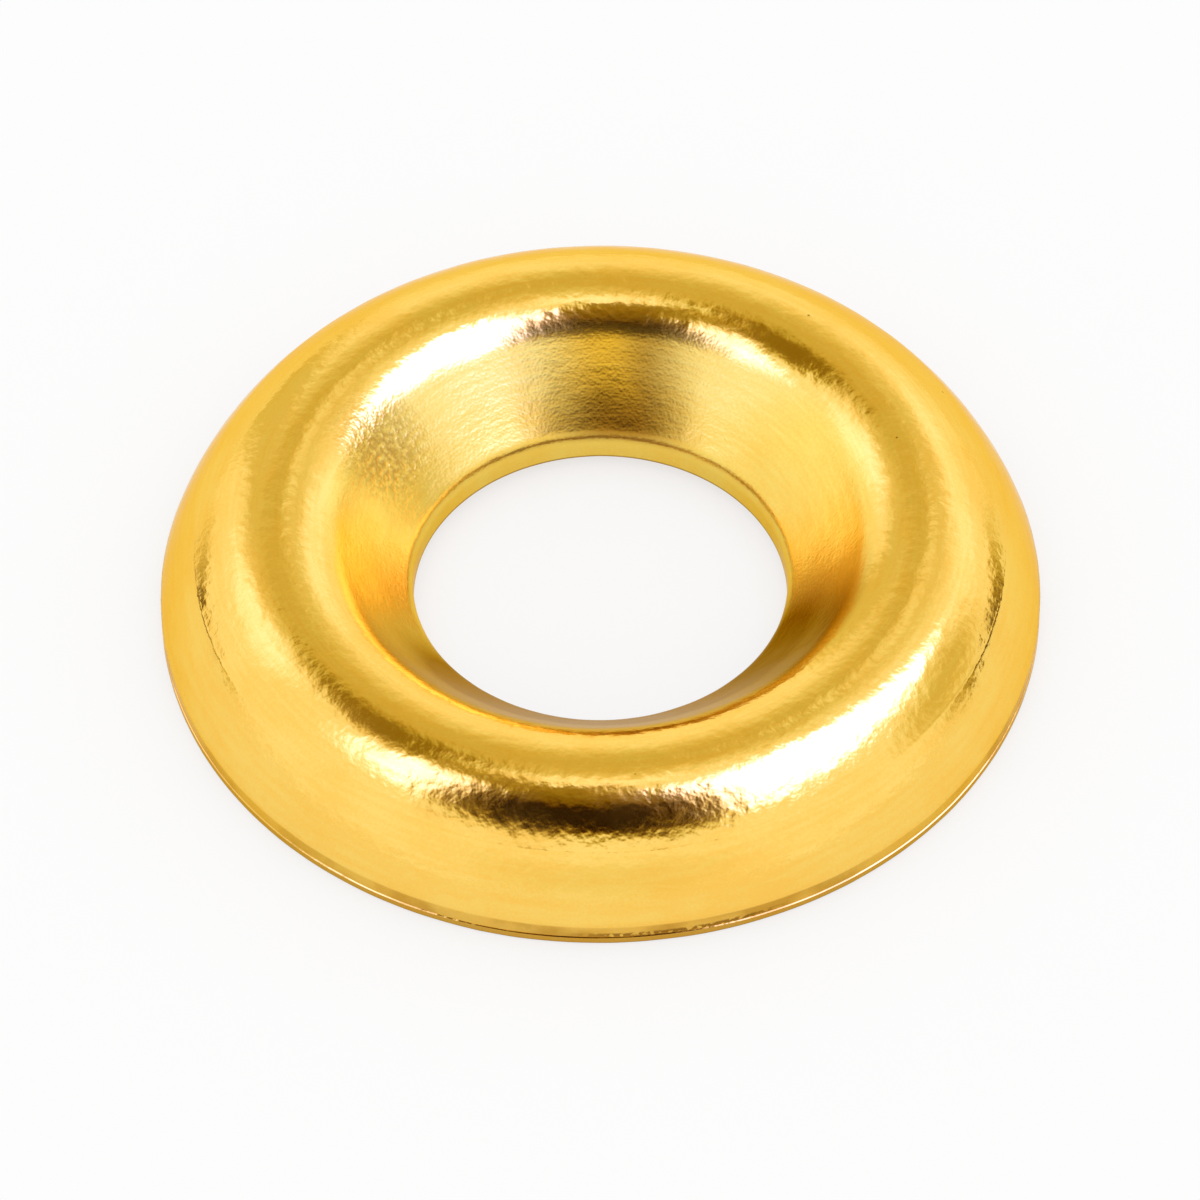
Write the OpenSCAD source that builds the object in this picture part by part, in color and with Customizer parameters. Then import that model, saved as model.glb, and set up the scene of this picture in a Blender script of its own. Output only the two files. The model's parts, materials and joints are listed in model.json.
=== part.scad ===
// Finishing cup washer: one piece of pressed brass sheet that lifts and frames a countersunk screw head.
// The rim lies on z = 0, and the screw's axis is z.

/* [Rim] */

// Outside diameter of the rim
rim_d = 14; // [12.6:0.1:15.4]

// Height of the upright cut edge round the rim
rim_edge = 0.4; // [0.3:0.05:0.55]

/* [Crown] */

// Height from the rim's foot to the top of the crown
height = 2.2; // [2:0.05:2.5]

// Where the top of the crown lies, as a share of the way from the hole's edge out to the rim
crown_share = 0.534; // [0.48:0.002:0.59]

// Radius of the crown's bend, on the show side
crown_r = 1.4; // [1.2:0.05:1.55]

// Radius of the gentler curve of the skirt, on the show side
skirt_r = 2.7; // [2.2:0.1:4]

/* [Screw seat] */

// Diameter of the screw hole
hole_d = 5.95; // [5.3:0.05:6.6]

// Full angle of the countersunk seat
seat_angle = 90; // [84:1:100]

// Radius of the lip where the seat turns down into the hole
lip_r = 0.35; // [0.15:0.05:0.45]

/* [Sheet] */

// Thickness of the brass sheet
sheet_t = 0.3; // [0.2:0.05:0.4]

/* [Hidden] */

// Steps round a full turn
$fn = 180;

// Tiny overlap by which neighbouring curves of the section cross each other
lap = 0.0001;

// Turn by which the cut above the skirt reaches past the line where skirt and crown touch
lap_angle = 2;

// Radii of the rim and the hole
rim_r = rim_d / 2;
hole_r = hole_d / 2;

// Slope of the seat from the horizontal, and unit vectors up that slope and out of the show side
seat_slope = 90 - seat_angle / 2;
up_seat = [cos(seat_slope), sin(seat_slope)];
off_seat = [-sin(seat_slope), cos(seat_slope)];

// Centre of the crown's bend in the section: distance from the axis, height
crown_c = [hole_r + crown_share * (rim_r - hole_r), height - crown_r];

// Skirt: its circle touches the crown's circle from outside and passes through the top of the rim's edge
reach = [rim_r, rim_edge] - crown_c;
reach_len = norm(reach);
radius_gap = skirt_r - crown_r;
touch_cos = (pow(skirt_r, 2) - pow(radius_gap, 2) - pow(reach_len, 2)) / (2 * radius_gap * reach_len);
touch_angle = atan2(reach[1], reach[0]) + acos(touch_cos);
skirt_c = crown_c - radius_gap * direction(touch_angle);

// Lip: centre of the rounding between the seat and the hole's wall
seat_top = crown_c + (crown_r - lap) * off_seat;
corner = seat_top - up_seat * (seat_top[0] - hole_r) / cos(seat_slope);
lip_c = [hole_r + lip_r, corner[1] - lip_r * tan((90 - seat_slope) / 2)];

// Length that reaches past the section from the centre of any of its curves
far = skirt_r + height;

// Unit vector at an angle from the horizontal
function direction(angle) = [cos(angle), sin(angle)];

// Wedge of the section's plane between two directions from a centre
module wedge(centre, from, to) {
    middle = (from + to) / 2;
    polygon([
        centre,
        centre + far * direction(from),
        centre + far * (direction(from) + direction(middle)),
        centre + far * (direction(to) + direction(middle)),
        centre + far * direction(to)
    ]);
}

// What lies outside a circle, within a wedge from its centre
module outside(centre, radius, from, to) {
    difference() {
        wedge(centre, from, to);
        translate(centre) circle(r = radius);
    }
}

// Everything above the line of the seat
module above_seat() {
    polygon([
        seat_top - far * up_seat,
        seat_top + far * up_seat,
        seat_top + far * (up_seat + off_seat),
        seat_top + far * (off_seat - up_seat)
    ]);
}

// Everything under the back of the seat, as far as the crown's bend
module under_seat() {
    seat_back = seat_top - sheet_t * off_seat;
    polygon([
        seat_back,
        seat_back - far * up_seat,
        seat_back - far * (up_seat + off_seat),
        seat_back - far * off_seat
    ]);
}

// Section of the pressed sheet: a blank between the hole and the rim, cut back to the show side and the back
module section() {
    difference() {
        translate([hole_r, 0]) square([rim_r - hole_r, height + sheet_t]);
        above_seat();
        outside(crown_c, crown_r, touch_angle, 90 + seat_slope);
        outside(skirt_c, skirt_r - lap, -90, touch_angle + lap_angle);
        outside(lip_c, lip_r + lap, 90 + seat_slope, 180);
        under_seat();
        translate(crown_c) circle(r = crown_r - sheet_t);
        intersection() {
            translate(skirt_c) circle(r = skirt_r - sheet_t - lap);
            wedge(skirt_c, -90, touch_angle);
        }
    }
}

// The washer: its section turned once round the screw's axis
module cup_washer() {
    color([0.89, 0.67, 0.2]) rotate_extrude() section();
}

cup_washer();
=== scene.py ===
import json
import math
from collections import namedtuple
from functools import partial
from types import SimpleNamespace

import bpy
from mathutils import Matrix, Vector


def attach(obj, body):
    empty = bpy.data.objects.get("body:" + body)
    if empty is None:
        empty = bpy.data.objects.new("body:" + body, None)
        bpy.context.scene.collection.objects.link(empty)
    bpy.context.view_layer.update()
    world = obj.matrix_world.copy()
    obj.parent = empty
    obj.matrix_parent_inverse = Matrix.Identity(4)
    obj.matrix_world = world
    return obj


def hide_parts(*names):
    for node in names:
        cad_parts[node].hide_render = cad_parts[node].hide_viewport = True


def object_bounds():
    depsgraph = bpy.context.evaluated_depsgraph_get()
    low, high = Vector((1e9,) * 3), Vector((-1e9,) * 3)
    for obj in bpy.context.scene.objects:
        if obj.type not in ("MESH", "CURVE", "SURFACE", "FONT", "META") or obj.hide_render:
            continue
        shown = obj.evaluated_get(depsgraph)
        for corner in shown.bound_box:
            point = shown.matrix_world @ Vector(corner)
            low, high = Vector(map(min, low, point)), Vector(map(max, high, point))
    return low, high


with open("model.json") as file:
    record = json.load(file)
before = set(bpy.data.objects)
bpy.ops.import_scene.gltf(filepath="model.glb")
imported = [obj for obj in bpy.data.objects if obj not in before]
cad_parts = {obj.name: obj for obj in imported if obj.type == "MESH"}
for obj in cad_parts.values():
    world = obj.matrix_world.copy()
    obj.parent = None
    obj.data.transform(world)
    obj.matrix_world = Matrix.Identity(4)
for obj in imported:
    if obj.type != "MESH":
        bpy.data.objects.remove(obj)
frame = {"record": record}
CAD_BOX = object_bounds()

bl_info = {
    "name": "Finishing Cup Washer",
    "version": (1, 0, 0),
    "blender": (4, 5, 0),
    "location": "View3D > Sidebar > Cup Washer",
    "description": "Presses a brass cup washer and sets it on a pale studio floor",
    "category": "Object",
}

MM = 0.001
SCREW_HOLE = next(mount for mount in frame["record"]["mounts"] if mount["name"] == "screw_hole")

# Settings of a map from one range to another whose ends are eased
SOFT = {"interpolation_type": "SMOOTHSTEP"}


def linear_colour(hex_text):
    """Turns an sRGB hex colour such as #F9CF5B into linear red, green and blue."""
    shares = [int(hex_text[place:place + 2], 16) / 255 for place in (1, 3, 5)]
    return tuple(s / 12.92 if s <= 0.04045 else ((s + 0.055) / 1.055) ** 2.4 for s in shares)


def add_node(tree, kind, inputs=None, **settings):
    """Adds a node with its settings. An input that is a node or a socket is linked, any other is set."""
    node = tree.nodes.new("ShaderNode" + kind)
    for name, value in settings.items():
        setattr(node, name, value)
    for place, value in (inputs or {}).items():
        if isinstance(value, bpy.types.Node):
            value = next(socket for socket in value.outputs if socket.enabled)
        if isinstance(value, bpy.types.NodeSocket):
            tree.links.new(value, node.inputs[place])
        else:
            node.inputs[place].default_value = value
    return node


# Sizes and colours that a user would change


class WasherSizes(bpy.types.PropertyGroup):
    """Sizes of the pressed washer."""

    rim_diameter: bpy.props.FloatProperty(
        name="Rim Diameter",
        description="Outside diameter of the rim",
        default=CAD_BOX[1].x - CAD_BOX[0].x,
        precision=5,
        unit="LENGTH",
    )
    rim_edge: bpy.props.FloatProperty(
        name="Rim Edge",
        description="Height of the upright edge round the rim",
        default=0.4 * MM,
        precision=5,
        unit="LENGTH",
    )
    height: bpy.props.FloatProperty(
        name="Height",
        description="From the rim's foot to the top of the crown",
        default=CAD_BOX[1].z,
        precision=5,
        unit="LENGTH",
    )
    crown_share: bpy.props.FloatProperty(
        name="Crown Share",
        description="Place of the crown's top on the way from the hole out to the rim",
        default=0.534,
        subtype="FACTOR",
    )
    crown_bend: bpy.props.FloatProperty(
        name="Crown Bend",
        description="Radius of the crown on the show side",
        default=1.4 * MM,
        precision=5,
        unit="LENGTH",
    )
    skirt_bend: bpy.props.FloatProperty(
        name="Skirt Bend",
        description="Radius of the skirt on the show side",
        default=2.7 * MM,
        precision=5,
        unit="LENGTH",
    )
    hole_diameter: bpy.props.FloatProperty(
        name="Hole Diameter",
        description="Diameter of the screw hole",
        default=2 * SCREW_HOLE["dims"]["r_mm"] * MM,
        precision=5,
        unit="LENGTH",
    )
    seat_angle: bpy.props.FloatProperty(
        name="Seat Angle",
        description="Full angle of the countersunk seat",
        default=math.radians(90),
        subtype="ANGLE",
    )
    lip_bend: bpy.props.FloatProperty(
        name="Lip Bend",
        description="Radius where the seat turns down into the hole",
        default=0.35 * MM,
        precision=5,
        unit="LENGTH",
    )
    sheet: bpy.props.FloatProperty(
        name="Sheet",
        description="Thickness of the brass sheet",
        default=0.3 * MM,
        precision=5,
        unit="LENGTH",
    )
    seat_bow: bpy.props.FloatProperty(
        name="Seat Bow",
        description="Turn of the seat's slope from the lip up to the crown",
        default=math.radians(4),
        subtype="ANGLE",
    )
    crease_inset: bpy.props.FloatProperty(
        name="Crease Inset",
        description="From the rim in to the soft crease that the die leaves between crown and skirt",
        default=0.59 * MM,
        precision=5,
        unit="LENGTH",
    )
    crease_turn: bpy.props.FloatProperty(
        name="Crease Turn",
        description="Angle by which the skirt falls away under the crease",
        default=math.radians(7),
        subtype="ANGLE",
    )
    wave_size: bpy.props.FloatProperty(
        name="Wave Size",
        description="Width of the faint waves that pressing leaves in the sheet",
        default=0.55 * MM,
        precision=5,
        unit="LENGTH",
    )
    wave_depth: bpy.props.FloatProperty(
        name="Wave Depth",
        description="Depth of the faint waves that pressing leaves in the sheet",
        default=0.008 * MM,
        precision=6,
        unit="LENGTH",
    )


class BrassLook(bpy.types.PropertyGroup):
    """Colours and surface of the pressed brass."""

    brass: bpy.props.FloatVectorProperty(
        name="Brass",
        description="Colour of the bright brass",
        default=linear_colour("#FCD368"),
        subtype="COLOR",
    )
    # Dark gold for painted shade low in the seat and in the middle of its far side, for tarnish in the peened
    # patch's dimples, and for tarnish with painted shade on the rim's edge
    tarnish_and_shade: bpy.props.FloatVectorProperty(
        name="Tarnish",
        description="Colour of the dark gold film low in the seat and on the trimmed edge",
        default=linear_colour("#9A6206"),
        subtype="COLOR",
    )
    # Honey gold of painted shade high in the middle of the seat's far side, where the seat mirrors a dark
    # wall
    honey_shade: bpy.props.FloatVectorProperty(
        name="Honey",
        description="Colour of the thin gold film at the back of the seat",
        default=linear_colour("#EDB216"),
        subtype="COLOR",
    )
    # Brown for real soil in small pits, and for painted shade in a streak on the rim's edge, a patch in the
    # seat and the feet of the rim and the hole's wall
    soil_and_shade: bpy.props.FloatVectorProperty(
        name="Soil",
        description="Colour of the brown soil left in pits and along the rim",
        default=linear_colour("#7A4A12"),
        subtype="COLOR",
    )
    # Strength of the brown, both the real soil and the painted shade
    soil_and_shade_strength: bpy.props.FloatProperty(
        name="Soil Strength",
        description="How much of the brown soil shows",
        default=0.75,
        subtype="FACTOR",
    )
    roughness: bpy.props.FloatProperty(
        name="Roughness",
        description="Roughness of the bright brass",
        default=0.135,
        subtype="FACTOR",
    )
    seat_roughness: bpy.props.FloatProperty(
        name="Seat Roughness",
        description="Roughness of the satin seat",
        default=0.25,
        subtype="FACTOR",
    )
    grain_size: bpy.props.FloatProperty(
        name="Grain Size",
        description="Width of the fine grain in the dimples",
        default=0.045 * MM,
        precision=6,
        unit="LENGTH",
    )
    peel_size: bpy.props.FloatProperty(
        name="Orange Peel Size",
        description="Width of the dimples that stretched sheet shows",
        default=0.09 * MM,
        precision=5,
        unit="LENGTH",
    )


class StudioLook(bpy.types.PropertyGroup):
    """Floor and camera of the stage."""

    floor: bpy.props.FloatVectorProperty(
        name="Floor",
        description="Colour of the pale floor",
        default=linear_colour("#FDFDFD"),
        subtype="COLOR",
    )
    floor_glow: bpy.props.FloatProperty(
        name="Floor Glow",
        description="Share of the floor's brightness that no shadow takes away",
        default=0.7,
        subtype="FACTOR",
    )
    camera_elevation: bpy.props.FloatProperty(
        name="Camera Elevation",
        description="Angle of the camera above the floor",
        default=math.radians(48.775),
        subtype="ANGLE",
    )
    camera_distance: bpy.props.FloatProperty(
        name="Camera Distance",
        description="From the camera to the middle of the washer's foot",
        default=144.3 * MM,
        unit="LENGTH",
    )
    lens: bpy.props.FloatProperty(
        name="Lens",
        description="Focal length in millimetres",
        default=271.25,
    )


# Section of the washer, drawn in the plane of x and z


def section_point(radius, height):
    """Gives the point of the section at a distance from the screw's axis and a height."""
    return Vector((radius, 0, height))


def section_direction(angle):
    """Gives the unit vector of the section at an angle above the horizontal."""
    return section_point(math.cos(angle), math.sin(angle))


def draw_line(pen, target, steps):
    """Draws a straight run of the section from the pen in equal steps, and returns the pen's new place."""
    step = (target - pen) / steps
    for _ in range(steps):
        bpy.ops.mesh.extrude_region_move(TRANSFORM_OT_translate={"value": step})
    return target


def draw_arc(pen, centre, turn, steps):
    """Draws an arc of the section from the pen round a centre, and returns the pen's new place."""
    bpy.ops.mesh.spin(steps=steps, angle=turn, center=centre, axis=(0, 1, 0))
    arm = pen - centre
    cosine = math.cos(turn)
    sine = math.sin(turn)
    return centre + section_point(arm.x * cosine - arm.z * sine, arm.x * sine + arm.z * cosine)


def draw_section(sizes):
    """Draws the closed outline of the pressed sheet: hole, lip, seat, crown, skirt, rim, foot and back."""
    rim_radius = sizes.rim_diameter / 2
    hole_radius = sizes.hole_diameter / 2
    slope = math.pi / 2 - sizes.seat_angle / 2
    seat_normal = math.pi / 2 + slope
    off_seat = section_direction(seat_normal)
    crown_centre = section_point(
        hole_radius + sizes.crown_share * (rim_radius - hole_radius), sizes.height - sizes.crown_bend
    )

    # The skirt's circle touches the crown's circle from outside and passes through the top of the rim's edge
    reach = section_point(rim_radius, sizes.rim_edge) - crown_centre
    gap = sizes.skirt_bend - sizes.crown_bend
    touch_cosine = (sizes.skirt_bend ** 2 - gap ** 2 - reach.length ** 2) / (2 * gap * reach.length)
    touch = math.atan2(reach.z, reach.x) + math.acos(touch_cosine)
    skirt_centre = crown_centre - gap * section_direction(touch)

    # On the show side a soft crease parts the shoulder under the crown from the skirt
    crease_over = math.radians(43)
    crease_rise = math.radians(3)
    crease_under = crease_over - sizes.crease_turn
    crease_bend = 0.35 * MM
    touch_point = crown_centre + sizes.crown_bend * section_direction(touch)
    crease_radius = rim_radius - sizes.crease_inset
    shoulder_bend = (crease_radius - touch_point.x) / (math.cos(crease_over) - math.cos(touch))
    shoulder_centre = touch_point - shoulder_bend * section_direction(touch)
    hollow_centre = shoulder_centre + (shoulder_bend + crease_bend) * section_direction(crease_over)
    crease_centre = hollow_centre - 2 * crease_bend * section_direction(crease_over + crease_rise)
    skirt_top = crease_centre + crease_bend * section_direction(crease_under)
    fall = section_point(rim_radius, sizes.rim_edge) - skirt_top
    skirt_turn = 2 * (crease_under - math.atan2(fall.x, -fall.z))
    show_bend = fall.length / (2 * math.sin(skirt_turn / 2))
    show_centre = skirt_top - show_bend * section_direction(crease_under)

    # The lip rounds the corner between the seat and the hole's wall
    seat_top = crown_centre + sizes.crown_bend * off_seat
    corner_height = seat_top.z - (seat_top.x - hole_radius) * math.tan(slope)
    lip_height = corner_height - sizes.lip_bend * math.tan((math.pi / 2 - slope) / 2)
    lip_centre = section_point(hole_radius + sizes.lip_bend, lip_height)
    back_height = corner_height - sizes.sheet / math.cos(slope)

    # The seat bows down a little between the lip and the crown
    lip_end = lip_centre + sizes.lip_bend * off_seat
    seat_run = seat_top - lip_end
    seat_bend = seat_run.length / (2 * math.sin(sizes.seat_bow / 2))
    seat_centre = (lip_end + seat_top) / 2 + seat_bend * math.cos(sizes.seat_bow / 2) * off_seat

    # The trimmed edge leans in a little to a pressed line, with a narrow lip under it
    edge_lip = 0.34 * sizes.rim_edge
    line_top = 0.4 * sizes.rim_edge
    line_height = (line_top + edge_lip) / 2
    line_depth = 0.02 * MM
    edge_round = 0.04 * MM

    # On the back the skirt runs down to the foot
    back_skirt = sizes.skirt_bend - sizes.sheet
    back_foot = skirt_centre.x + math.sqrt(back_skirt ** 2 - skirt_centre.z ** 2)
    back_foot_normal = math.atan2(-skirt_centre.z, back_foot - skirt_centre.x)

    pen = section_point(hole_radius, back_height)
    bpy.ops.transform.translate(value=pen)
    pen = draw_line(pen, section_point(hole_radius, lip_height), steps=5)
    pen = draw_arc(pen, lip_centre, seat_normal - math.pi, steps=8)
    pen = draw_arc(pen, seat_centre, sizes.seat_bow, steps=20)
    pen = draw_arc(pen, crown_centre, touch - seat_normal, steps=30)
    pen = draw_arc(pen, shoulder_centre, crease_over - touch, steps=10)
    pen = draw_arc(pen, hollow_centre, crease_rise, steps=3)
    pen = draw_arc(pen, crease_centre, -crease_rise - sizes.crease_turn, steps=5)
    pen = draw_arc(pen, show_centre, -skirt_turn, steps=18)
    pen = draw_line(pen, section_point(rim_radius - line_depth / 2, line_top), steps=5)
    pen = draw_line(pen, section_point(rim_radius - line_depth, line_height), steps=2)
    pen = draw_line(pen, section_point(rim_radius, edge_lip), steps=2)
    pen = draw_line(pen, section_point(rim_radius, edge_round), steps=2)
    pen = draw_arc(pen, section_point(rim_radius - edge_round, edge_round), -math.pi / 2, steps=4)
    pen = draw_line(pen, section_point(back_foot, 0), steps=3)
    pen = draw_arc(pen, skirt_centre, touch - back_foot_normal, steps=16)
    pen = draw_arc(pen, crown_centre, seat_normal - touch, steps=14)
    draw_line(pen, section_point(hole_radius, back_height), steps=12)


def press_washer(sizes, steps_round=480):
    """Spins the section round the screw's axis and gives the sheet its faint waves."""
    weld_gap = 0.001 * MM
    sharp_edge = math.radians(35)
    bpy.ops.object.select_all(action="DESELECT")
    bpy.ops.mesh.primitive_plane_add(size=MM, location=(0, 0, 0))
    washer = bpy.context.active_object
    washer.name = "pressed_washer"
    bpy.ops.object.mode_set(mode="EDIT")
    bpy.ops.mesh.merge(type="CENTER")
    draw_section(sizes)
    bpy.ops.mesh.select_all(action="SELECT")
    bpy.ops.mesh.remove_doubles(threshold=weld_gap)
    bpy.ops.mesh.spin(steps=steps_round, angle=2 * math.pi, center=(0, 0, 0), axis=(0, 0, 1))
    bpy.ops.mesh.select_all(action="SELECT")
    bpy.ops.mesh.remove_doubles(threshold=weld_gap)
    bpy.ops.mesh.normals_make_consistent(inside=False)
    bpy.ops.object.mode_set(mode="OBJECT")

    waves = bpy.data.textures.new("press_waves", "CLOUDS")
    waves.noise_scale = sizes.wave_size
    waves.noise_depth = 1
    bpy.ops.object.modifier_add(type="DISPLACE")
    displace = washer.modifiers[-1]
    displace.texture = waves
    displace.texture_coords = "LOCAL"
    displace.strength = sizes.wave_depth
    bpy.ops.object.modifier_apply(modifier=displace.name)
    bpy.data.textures.remove(waves)
    bpy.ops.object.shade_smooth_by_angle(angle=sharp_edge)
    return washer


# Pressed brass: bright drawn sheet with a warm yellow mirror, broken up by the dimples of stretched metal


def washer_places(add):
    """Finds where the parts of the washer lie. Each part is a share from 0 to 1 with soft edges."""
    place = add("TexCoord").outputs["Object"]
    parts = add("SeparateXYZ", {0: place})
    aside = parts.outputs["X"]
    height = parts.outputs["Z"]
    flat = add("VectorMath", {0: place, 1: (1, 1, 0)}, operation="MULTIPLY")
    radius = add("VectorMath", {0: flat}, operation="LENGTH")
    turn = add("Math", {0: parts.outputs["Y"], 1: aside}, operation="ARCTAN2")
    azimuth = add("Math", {0: turn}, operation="DEGREES")

    # The seat, its low part beside the hole, and the trimmed edge of the rim
    on_seat = add("MapRange", {"Value": radius, "From Min": 4.5 * MM, "From Max": 4.1 * MM}, **SOFT)
    by_hole = add("MapRange", {"Value": radius, "From Min": 3.9 * MM, "From Max": 3.2 * MM}, **SOFT)
    low = add("MapRange", {"Value": height, "From Min": 0.41 * MM, "From Max": 0.37 * MM}, **SOFT)
    outer = add("MapRange", {"Value": radius, "From Min": 6.5 * MM, "From Max": 6.6 * MM}, **SOFT)
    on_edge = add("Math", {0: low, 1: outer}, operation="MULTIPLY")

    # The near side and the far side, turned a little to the left
    back_way = (-0.15, 1, 0)
    toward_back = add("VectorMath", {0: place, 1: back_way}, operation="DOT_PRODUCT")
    near = add("MapRange", {"Value": toward_back, "From Min": -0.4 * MM, "From Max": -2.6 * MM}, **SOFT)
    far = add("MapRange", {"Value": toward_back, "From Min": 1.5 * MM, "From Max": 3.0 * MM}, **SOFT)

    # The middle of the seat's far side, above the lip
    middle_aside = 0.35 * MM
    beside = add("Math", {0: aside, 1: middle_aside}, operation="SUBTRACT")
    off_middle = add("Math", {0: beside}, operation="ABSOLUTE")
    middle = add("MapRange", {"Value": off_middle, "From Min": 1.4 * MM, "From Max": 0.2 * MM}, **SOFT)
    far_middle = add("Math", {0: far, 1: middle}, operation="MULTIPLY")
    over_lip = add("MapRange", {"Value": height, "From Min": 0.5 * MM, "From Max": 0.75 * MM}, **SOFT)
    far_place = add("Math", {0: far_middle, 1: over_lip}, operation="MULTIPLY")
    far_seat = add("Math", {0: far_place, 1: on_seat}, operation="MULTIPLY")

    # The peened patch at the back left of the seat
    patch_centre = (-3.58 * MM, 1.95 * MM, 1.45 * MM)
    patch_gap = add("VectorMath", {0: place, 1: patch_centre}, operation="DISTANCE")
    on_patch = add("MapRange", {"Value": patch_gap, "From Min": 1.2 * MM, "From Max": 0.2 * MM}, **SOFT)
    return SimpleNamespace(
        place=place,
        aside=aside,
        height=height,
        flat=flat,
        radius=radius,
        azimuth=azimuth,
        on_seat=on_seat,
        by_hole=by_hole,
        on_edge=on_edge,
        near=near,
        far=far,
        far_seat=far_seat,
        on_patch=on_patch,
    )


def sheet_patterns(add, look, where):
    """Adds the patterns of the sheet: marks that run round it, dimples of three sizes and wide clouds."""
    # Marks of the die and the polishing are long and narrow
    mark_length = 0.9 * MM
    mark_width = 0.05 * MM
    mark_radius = 5 * MM
    outward = add("VectorMath", {0: where.flat}, operation="NORMALIZE")
    around = add("VectorMath", {0: outward, "Scale": mark_radius / mark_length}, operation="SCALE")
    across = add("Math", {0: where.radius, 1: 1 / mark_width}, operation="MULTIPLY")
    lifted = add("CombineXYZ", {"Z": across})
    along = add("VectorMath", {0: around, 1: lifted}, operation="ADD")
    marks = add("TexNoise", {"Vector": along, "Scale": 1.0, "Detail": 3.0})

    # Dimples of stretched sheet are about a tenth of a millimetre wide, between wider and finer ones
    swell_size = 2.2 * look.peel_size
    cloud_size = 1.2 * MM
    swell = add("TexNoise", {"Vector": where.place, "Scale": 1 / swell_size, "Detail": 1.0})
    peel = add("TexNoise", {"Vector": where.place, "Scale": 1 / look.peel_size, "Detail": 1.0})
    grain = add("TexNoise", {"Vector": where.place, "Scale": 1 / look.grain_size, "Detail": 0.0})
    cloud = add("TexNoise", {"Vector": where.place, "Scale": 1 / cloud_size, "Detail": 4.0})
    return SimpleNamespace(marks=marks, swell=swell, peel=peel, grain=grain, cloud=cloud)


def sheet_relief(add, where, pattern):
    """Raises the patterns. The seat has shallow dimples and a stronger grain, and its patch is peened."""
    peel_depth = 0.002 * MM
    peened_depth = 0.012 * MM
    swell_depth = add("MapRange", {"Value": where.on_seat, "To Min": 0.007 * MM, "To Max": 0.002 * MM})
    grain_depth = add("MapRange", {"Value": where.on_seat, "To Min": 0.0003 * MM, "To Max": 0.0013 * MM})
    mark_depth = add("MapRange", {"Value": where.on_seat, "To Min": 0.0002 * MM, "To Max": 0.002 * MM})
    patch_depth = add("Math", {0: where.on_patch, 1: peened_depth}, operation="MULTIPLY")
    relief = add("Math", {0: pattern.swell, 1: swell_depth}, operation="MULTIPLY")
    relief = add("Math", {0: pattern.peel, 1: peel_depth, 2: relief}, operation="MULTIPLY_ADD")
    relief = add("Math", {0: pattern.grain, 1: grain_depth, 2: relief}, operation="MULTIPLY_ADD")
    relief = add("Math", {0: pattern.marks, 1: mark_depth, 2: relief}, operation="MULTIPLY_ADD")
    relief = add("Math", {0: pattern.peel, 1: patch_depth, 2: relief}, operation="MULTIPLY_ADD")

    # The relief is a height in metres, so the bump takes it as it is
    return add("Bump", {"Height": relief, "Distance": 1.0, "Strength": 1.0})


def sheet_roughness(add, look, where, pattern):
    """Lets the polish come and go in clouds about a millimetre wide, and makes the seat satin."""
    clouded = {
        "Value": pattern.cloud,
        "From Min": 0.3,
        "From Max": 0.7,
        "To Min": look.roughness * 0.7,
        "To Max": look.roughness * 1.3,
    }
    polish = add("MapRange", clouded)
    return add("Mix", {"Factor": where.on_seat, "A": polish, "B": look.seat_roughness})


def tarnish_and_shade_share(add, where, pattern):
    """Gathers the dark gold: painted shade low in the seat and on its near side, tarnish in the peened
    patch's dimples, and tarnish with painted shade on the trimmed edge.
    """
    # In the seat it is painted shade of the hole that the seat mirrors, thickest on the near side, where it
    # climbs from the lip to the crown
    high_shade_share = 0.75
    lip_shade_share = add("MapRange", {"Value": where.near, "To Min": 0.12, "To Max": 1.0})
    lip_painted_shade = add("Math", {0: where.by_hole, 1: lip_shade_share}, operation="MULTIPLY")
    high = add("Math", {0: where.on_seat, 1: where.near}, operation="MULTIPLY")
    both = {0: high, 1: high_shade_share, 2: lip_painted_shade}
    seat_painted_shade = add("Math", both, operation="MULTIPLY_ADD", use_clamp=True)

    # On the patch it lies in the dimples
    dimples = {"Value": pattern.peel, "From Min": 0.2, "From Max": 0.7, "To Max": 0.55}
    patch_spots = add("MapRange", dimples, **SOFT)
    patch_film = add("Math", {0: where.on_patch, 1: patch_spots}, operation="MULTIPLY")

    # On the edge it is tarnish together with painted shade of the floor that the edge mirrors, in clouds, and
    # it covers the narrow lip
    clouds = {"Value": pattern.cloud, "From Min": 0.42, "From Max": 0.62, "To Min": 0.2, "To Max": 0.5}
    lip = {"Value": where.height, "From Min": 0.16 * MM, "From Max": 0.12 * MM, "To Max": 0.5}
    cloud_tarnish_and_shade = add("MapRange", clouds, **SOFT)
    on_lip = add("MapRange", lip, **SOFT)
    edge_share = add("Math", {0: cloud_tarnish_and_shade, 1: on_lip}, operation="MAXIMUM")
    edge_tarnish_and_shade = add("Math", {0: where.on_edge, 1: edge_share}, operation="MULTIPLY")
    film_and_shade = add("Math", {0: seat_painted_shade, 1: patch_film}, operation="MAXIMUM")
    return add("Math", {0: film_and_shade, 1: edge_tarnish_and_shade}, operation="MAXIMUM")


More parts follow.
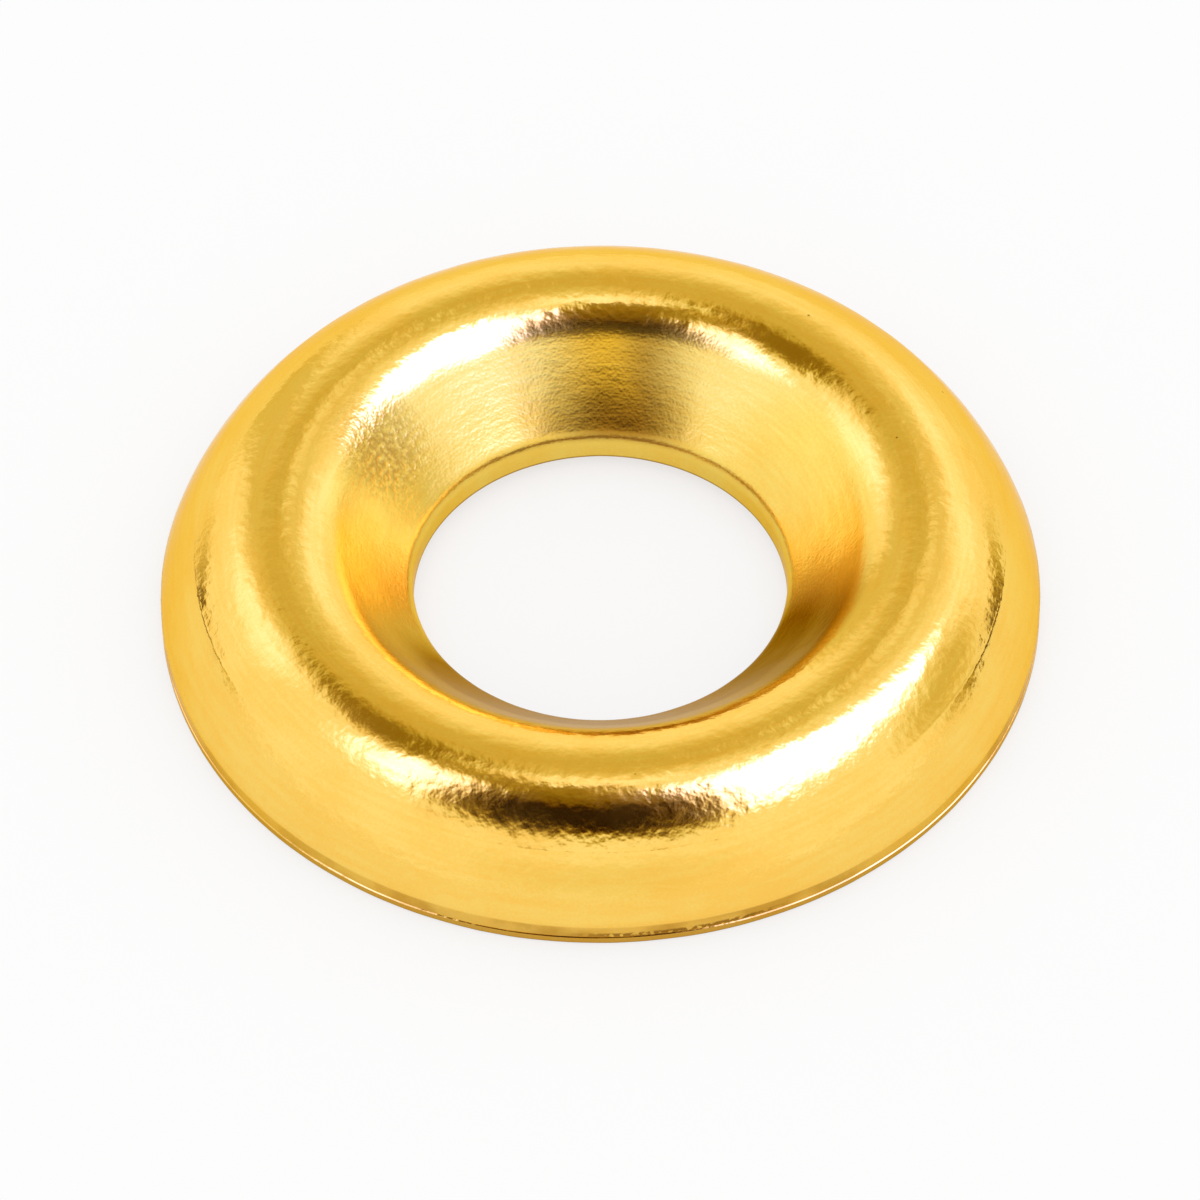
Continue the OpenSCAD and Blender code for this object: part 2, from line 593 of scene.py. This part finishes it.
def soil_and_shade_share(add, look, where, pattern):
    """Gathers the brown: painted shade in a streak on the rim's edge, in a patch in the seat and at the feet
    of the rim and the hole's wall, and real soil in small pits.
    """
    # A streak of painted shade, standing for a dark reflection, follows the edge's pressed line at the front,
    # and is broken by the dimples
    streak_azimuth = -80.0
    streak_height = 0.2 * MM
    streak_aside = add("Math", {0: where.azimuth, 1: streak_azimuth}, operation="SUBTRACT")
    streak_away = add("Math", {0: streak_aside}, operation="ABSOLUTE")
    in_streak = add("MapRange", {"Value": streak_away, "From Min": 16.0, "From Max": 8.0}, **SOFT)
    over_line = add("Math", {0: where.height, 1: streak_height}, operation="SUBTRACT")
    off_line = add("Math", {0: over_line}, operation="ABSOLUTE")
    on_line = add("MapRange", {"Value": off_line, "From Min": 0.07 * MM, "From Max": 0.02 * MM}, **SOFT)
    broken = add("MapRange", {"Value": pattern.peel, "From Min": 0.4, "From Max": 0.5}, **SOFT)
    line_shade = add("Math", {0: on_line, 1: broken}, operation="MULTIPLY")
    edge_line = add("Math", {0: where.on_edge, 1: line_shade}, operation="MULTIPLY")
    shade_streak = add("Math", {0: in_streak, 1: edge_line}, operation="MULTIPLY")

    # A patch of painted shade lies on the seat, at the front right, where it mirrors the inside of the hole
    shade_patch_azimuth = -36.0
    shade_patch_aside = add("Math", {0: where.azimuth, 1: shade_patch_azimuth}, operation="SUBTRACT")
    shade_patch_away = add("Math", {0: shade_patch_aside}, operation="ABSOLUTE")
    fading = {"Value": shade_patch_away, "From Min": 26.0, "From Max": 6.0, "To Max": 0.75}
    in_shade_patch = add("MapRange", fading, **SOFT)
    shade_patch = add("Math", {0: in_shade_patch, 1: where.on_seat}, operation="MULTIPLY")

    # Painted shade darkens the foot of the rim and the foot of the hole's wall, next to the floor
    rim_foot_shade = add("MapRange", {"Value": where.height, "From Min": 0.05 * MM, "From Max": 0.01 * MM}, **SOFT)
    in_hole = add("MapRange", {"Value": where.radius, "From Min": 3.1 * MM, "From Max": 3.0 * MM}, **SOFT)
    wall_foot = add("MapRange", {"Value": where.height, "From Min": 0.25 * MM, "From Max": 0.21 * MM}, **SOFT)
    hole_foot_shade = add("Math", {0: in_hole, 1: wall_foot}, operation="MULTIPLY")

    # Half of the cells of a scattered pattern have a pit at their middle
    pit_spacing = 0.7 * MM
    pit_cells = add("TexVoronoi", {"Vector": where.place, "Scale": 1 / pit_spacing})
    pit_size = add("SeparateColor", {"Color": pit_cells.outputs["Color"]})
    pit_reach = add("MapRange", {"Value": pit_size, "From Min": 0.5, "From Max": 1.0, "To Max": 0.06})
    pit_inside = add("Math", {0: pit_reach, 1: pit_cells.outputs["Distance"]}, operation="SUBTRACT")
    pits = add("MapRange", {"Value": pit_inside, "From Min": -0.01, "From Max": 0.02}, **SOFT)

    soil_and_shade = shade_streak
    for share in (rim_foot_shade, hole_foot_shade, pits, shade_patch):
        soil_and_shade = add("Math", {0: soil_and_shade, 1: share}, operation="MAXIMUM")
    return add("Math", {0: soil_and_shade, 1: look.soil_and_shade_strength}, operation="MULTIPLY")


def sheet_colour(add, look, where, pattern):
    """Mixes the brass, the seat's own tints with a painted highlight, and the tarnish and the soil, much of
    which is painted shade.
    """
    mix = {"data_type": "RGBA"}
    multiply = {"data_type": "RGBA", "blend_type": "MULTIPLY"}
    brass = (*look.brass, 1)
    honey_shade = (*look.honey_shade, 1)
    tarnish_and_shade = (*look.tarnish_and_shade, 1)
    soil_and_shade = (*look.soil_and_shade, 1)

    # The brass drifts a little between yellow and orange, along the marks and in clouds
    grain_share = 0.5
    orange = (look.brass[0], look.brass[1] * 0.9, look.brass[2] * 0.72, 1)
    drift = add("Math", {0: pattern.marks, 1: pattern.cloud}, operation="ADD")
    drift = add("Math", {0: pattern.grain, 1: grain_share, 2: drift}, operation="MULTIPLY_ADD")
    toward = add("MapRange", {"Value": drift, "From Min": 1.0, "From Max": 1.5})
    drifted = add("Mix", {"Factor": toward, "A": brass, "B": orange}, **mix)

    # The satin seat is yellower, and paler high on its far sides, where a highlight is painted
    yellower = (1.0, 1.1, 1.0, 1)
    painted_highlight_tint = (1.0, 1.05, 1.5, 1)
    off_hole = add("MapRange", {"Value": where.by_hole, "To Min": 1.0, "To Max": 0.0})
    far_high = add("Math", {0: where.far, 1: off_hole}, operation="MULTIPLY")
    seat_side = add("Math", {0: where.on_seat, 1: where.far_seat}, operation="SUBTRACT")
    far_side = add("Math", {0: far_high, 1: seat_side}, operation="MULTIPLY")
    seated = add("Mix", {"Factor": where.on_seat, "A": drifted, "B": yellower}, **multiply)
    far_sides_highlighted = add("Mix", {"Factor": far_side, "A": seated, "B": painted_highlight_tint}, **multiply)

    # Painted shade of a mirrored dark wall in the middle of its far side: honey gold high on the left, dark
    # gold low down and on the right
    to_right = add("MapRange", {"Value": where.aside, "From Min": 0.1 * MM, "From Max": 0.9 * MM}, **SOFT)
    darker = add("Math", {0: where.by_hole, 1: to_right}, operation="MAXIMUM")
    far_shade_tint = add("Mix", {"Factor": darker, "A": honey_shade, "B": tarnish_and_shade}, **mix)
    far_shade_share = add("MapRange", {"Value": where.by_hole, "To Min": 0.7, "To Max": 0.86})
    far_painted_shade = add("Math", {0: where.far_seat, 1: far_shade_share}, operation="MULTIPLY")
    backed = add("Mix", {"Factor": far_painted_shade, "A": far_sides_highlighted, "B": far_shade_tint}, **mix)

    # Dark gold and brown go over it: tarnish and soil, with much painted shade
    filmed_and_shaded = add("Mix", {"Factor": tarnish_and_shade_share(add, where, pattern), "A": backed, "B": tarnish_and_shade}, **mix)
    return add("Mix", {"Factor": soil_and_shade_share(add, look, where, pattern), "A": filmed_and_shaded, "B": soil_and_shade}, **mix)


def pressed_brass(look):
    """Makes the material of the washer from its relief, its polish and its colours."""
    material = bpy.data.materials.new("pressed_brass")
    material.use_nodes = True
    tree = material.node_tree
    tree.nodes.clear()
    add = partial(add_node, tree)
    where = washer_places(add)
    pattern = sheet_patterns(add, look, where)
    edge_tint = (0.97, 0.78, 0.4, 1)
    shader = add(
        "BsdfPrincipled",
        {
            "Base Color": sheet_colour(add, look, where, pattern),
            "Metallic": 1.0,
            "Roughness": sheet_roughness(add, look, where, pattern),
            "Specular Tint": edge_tint,
            "Normal": sheet_relief(add, where, pattern),
        },
    )
    add("OutputMaterial", {"Surface": shader})
    return material


# Stage: daylight panels in a dim warm room, seen in the washer's reflections, over a pale floor

LightPanel = namedtuple(
    "LightPanel", "azimuth elevation half_width half_height soft_width soft_height tilt level"
)

# Angles are in degrees. Azimuth 0 is at the photo's right, 90 behind the washer and -90 at the camera.
# A tilt is a panel's rise for each degree of azimuth, and each panel is mixed over those before it.
ROOM_LEVEL = 1.08
PANELS = [
    LightPanel(-128, 82, 75, 12, 35, 8, 0, 0.23),  # dim ceiling on the left
    LightPanel(95, 56, 40, 20, 26, 16, 0, 0.6),  # half-lit wall at the back
    LightPanel(72, 52, 9, 6, 7, 5, 0, 1.0),  # lighter spot on that wall
    LightPanel(-90, 9, 30, 9, 22, 7, 0, 0.92),  # slightly dimmer table in front
    LightPanel(90, 85, 65, 5, 30, 3, 0, 1.35),  # lamp overhead
    LightPanel(145, 65, 32, 8.5, 14, 4, 0, 0.18),  # dark ceiling at the back left
    LightPanel(-95, 60.5, 47, 17.5, 8, 4, 0, 0.14),  # dark wall behind the camera
    LightPanel(-97, 56, 34, 10, 12, 6, 0, 0.006),  # darkest middle of that wall
    LightPanel(47, 27, 22, 9, 9, 6, 0, 1.28),  # faint glow at the back right
    LightPanel(-13, 58, 37, 19, 7, 4, -0.1, 2.5),  # softbox on the right
    LightPanel(-158, 55, 14, 13, 7, 6, 0, 2.15),  # softbox on the left
    LightPanel(150, 36, 14, 11, 8, 8, 0, 1.5),  # lower panel at the back left
    LightPanel(8, 22, 15, 8, 10, 7, 0, 0.65),  # dim strip low on the right
    LightPanel(116, 20, 8, 25, 4, 5, 0, 0.72),  # dim upright low at the back
    LightPanel(21, 0, 16, 7, 14, 2, 0, 0.02),  # dark gap at the floor's right end
    LightPanel(154, 0, 13, 5, 11, 2, 0, 0.03),  # dark gap at the floor's left end
]


def hang_panel(tree, azimuth, elevation, panel, below):
    """Mixes one soft-edged panel over the level below it, and returns the new level."""
    add = partial(add_node, tree)
    half_turn = 180.0
    aside = add("Math", {0: azimuth, 1: panel.azimuth}, operation="SUBTRACT")
    turned = add("Math", {0: aside, 1: half_turn, 2: -half_turn}, operation="WRAP")
    across = add("Math", {0: turned}, operation="ABSOLUTE")
    middle = add("Math", {0: turned, 1: panel.tilt, 2: panel.elevation}, operation="MULTIPLY_ADD")
    above = add("Math", {0: elevation, 1: middle}, operation="SUBTRACT")
    upward = add("Math", {0: above}, operation="ABSOLUTE")
    full_width = panel.half_width - panel.soft_width
    no_width = panel.half_width + panel.soft_width
    full_height = panel.half_height - panel.soft_height
    no_height = panel.half_height + panel.soft_height
    in_width = add("MapRange", {"Value": across, "From Min": no_width, "From Max": full_width}, **SOFT)
    in_height = add("MapRange", {"Value": upward, "From Min": no_height, "From Max": full_height}, **SOFT)
    on_panel = add("Math", {0: in_width, 1: in_height}, operation="MULTIPLY")
    return add("Mix", {"Factor": on_panel, "A": below, "B": panel.level})


def light_studio():
    """Gives the world an even soft light, the panels that metal mirrors and a white background."""
    world = bpy.data.worlds.new("studio")
    bpy.context.scene.world = world
    world.use_nodes = True
    tree = world.node_tree
    tree.nodes.clear()
    add = partial(add_node, tree)
    direction = add("TexCoord").outputs["Generated"]
    parts = add("SeparateXYZ", {0: direction})
    angle = add("Math", {0: parts.outputs["Y"], 1: parts.outputs["X"]}, operation="ARCTAN2")
    azimuth = add("Math", {0: angle}, operation="DEGREES")
    rise = add("Math", {0: parts.outputs["Z"]}, operation="ARCSINE")
    elevation = add("Math", {0: rise}, operation="DEGREES")
    level = ROOM_LEVEL
    for panel in PANELS:
        level = hang_panel(tree, azimuth, elevation, panel, level)

    # Dim parts of the room are warm, and the lit panels are cool
    warm_power = 0.78
    cool_power = 2.5
    dim_red = add("Math", {0: level, 1: warm_power}, operation="POWER")
    red = add("Math", {0: level, 1: dim_red}, operation="MAXIMUM")
    blue = add("Math", {0: level, 1: cool_power}, operation="POWER")
    room = add("CombineColor", {"Red": red, "Green": level, "Blue": blue})

    # Only mirrored rays see the room, and all others see plain white
    white = (1, 1, 1, 1)
    mirrored = add("LightPath").outputs["Is Glossy Ray"]
    seen = add("Mix", {"Factor": mirrored, "A": white, "B": room}, data_type="RGBA")
    background = add("Background", {"Color": seen, "Strength": 1.0})
    add("OutputWorld", {"Surface": background})


def pale_floor(look):
    """Lays the large pale floor under the washer. It looks white, and keeps a soft shadow."""
    bpy.ops.object.select_all(action="DESELECT")
    bpy.ops.mesh.primitive_plane_add(size=2, location=(0, 0, 0))
    floor = bpy.context.active_object
    floor.name = "pale_floor"
    material = bpy.data.materials.new("matt_white_card")
    material.use_nodes = True
    tree = material.node_tree
    tree.nodes.clear()
    add = partial(add_node, tree)

    # The card glows for the camera, and half as much in the washer's mirror
    colour = (*look.floor, 1)
    mirror_glow = look.floor_glow / 2
    path = add("LightPath")
    seen = add("Math", {0: path.outputs["Is Camera Ray"], 1: look.floor_glow}, operation="MULTIPLY")
    mirrored = path.outputs["Is Glossy Ray"]
    share = add("Math", {0: mirrored, 1: mirror_glow, 2: seen}, operation="MULTIPLY_ADD")
    card = add("BsdfDiffuse", {"Color": colour})
    glow = add("Emission", {"Color": colour, "Strength": 1.0})
    surface = add("MixShader", {0: share, 1: card, 2: glow})
    add("OutputMaterial", {"Surface": surface})
    floor.data.materials.append(material)


def place_camera(look):
    """Sets the camera at the photo's angle, with the small tilt and offset of the photo's framing."""
    roll = 0.0084
    aside = -0.0078 * MM
    lift = 0.05 * MM
    back = Vector((0, -math.cos(look.camera_elevation), math.sin(look.camera_elevation)))
    right = Vector((1, 0, 0))
    up = back.cross(right)
    camera_x = right * math.cos(roll) - up * math.sin(roll)
    camera_y = right * math.sin(roll) + up * math.cos(roll)
    spot = back * look.camera_distance + right * aside + up * lift
    data = bpy.data.cameras.new("camera")
    data.lens = look.lens
    data.sensor_width = 36
    data.clip_start = 0.01
    data.clip_end = 10
    camera = bpy.data.objects.new("camera", data)
    bpy.context.scene.collection.objects.link(camera)
    turn = Matrix((camera_x, camera_y, back)).transposed().to_4x4()
    camera.matrix_world = Matrix.Translation(spot) @ turn
    bpy.context.scene.camera = camera


# Operators and panel


class CUPWASHER_OT_press(bpy.types.Operator):
    """Press the washer from brass sheet"""

    bl_idname = "cup_washer.press"
    bl_label = "Press Washer"

    def execute(self, context):
        washer = press_washer(context.scene.washer_sizes)
        washer.data.materials.append(pressed_brass(context.scene.brass_look))
        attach(washer, "root")
        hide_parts("cup_washer")
        return {"FINISHED"}


class CUPWASHER_OT_stage(bpy.types.Operator):
    """Set the floor, the light and the camera"""

    bl_idname = "cup_washer.stage"
    bl_label = "Set Stage"

    def execute(self, context):
        pale_floor(context.scene.studio_look)
        light_studio()
        place_camera(context.scene.studio_look)
        context.scene.view_settings.view_transform = "Standard"
        return {"FINISHED"}


class CUPWASHER_PT_panel(bpy.types.Panel):
    """Sizes, colours and steps of the cup washer"""

    bl_idname = "CUPWASHER_PT_panel"
    bl_label = "Cup Washer"
    bl_space_type = "VIEW_3D"
    bl_region_type = "UI"
    bl_category = "Cup Washer"

    def draw(self, context):
        scene = context.scene
        for group, step in (
            (scene.washer_sizes, None),
            (scene.brass_look, CUPWASHER_OT_press.bl_idname),
            (scene.studio_look, CUPWASHER_OT_stage.bl_idname),
        ):
            box = self.layout.box()
            for name in group.__annotations__:
                box.prop(group, name)
            if step:
                box.operator(step)


CLASSES = (WasherSizes, BrassLook, StudioLook, CUPWASHER_OT_press, CUPWASHER_OT_stage, CUPWASHER_PT_panel)


def register():
    for entry in CLASSES:
        bpy.utils.register_class(entry)
    bpy.types.Scene.washer_sizes = bpy.props.PointerProperty(type=WasherSizes)
    bpy.types.Scene.brass_look = bpy.props.PointerProperty(type=BrassLook)
    bpy.types.Scene.studio_look = bpy.props.PointerProperty(type=StudioLook)


def unregister():
    del bpy.types.Scene.studio_look
    del bpy.types.Scene.brass_look
    del bpy.types.Scene.washer_sizes
    for entry in reversed(CLASSES):
        bpy.utils.unregister_class(entry)


def main():
    register()
    bpy.ops.cup_washer.press()
    bpy.ops.cup_washer.stage()


if __name__ == "__main__":
    main()
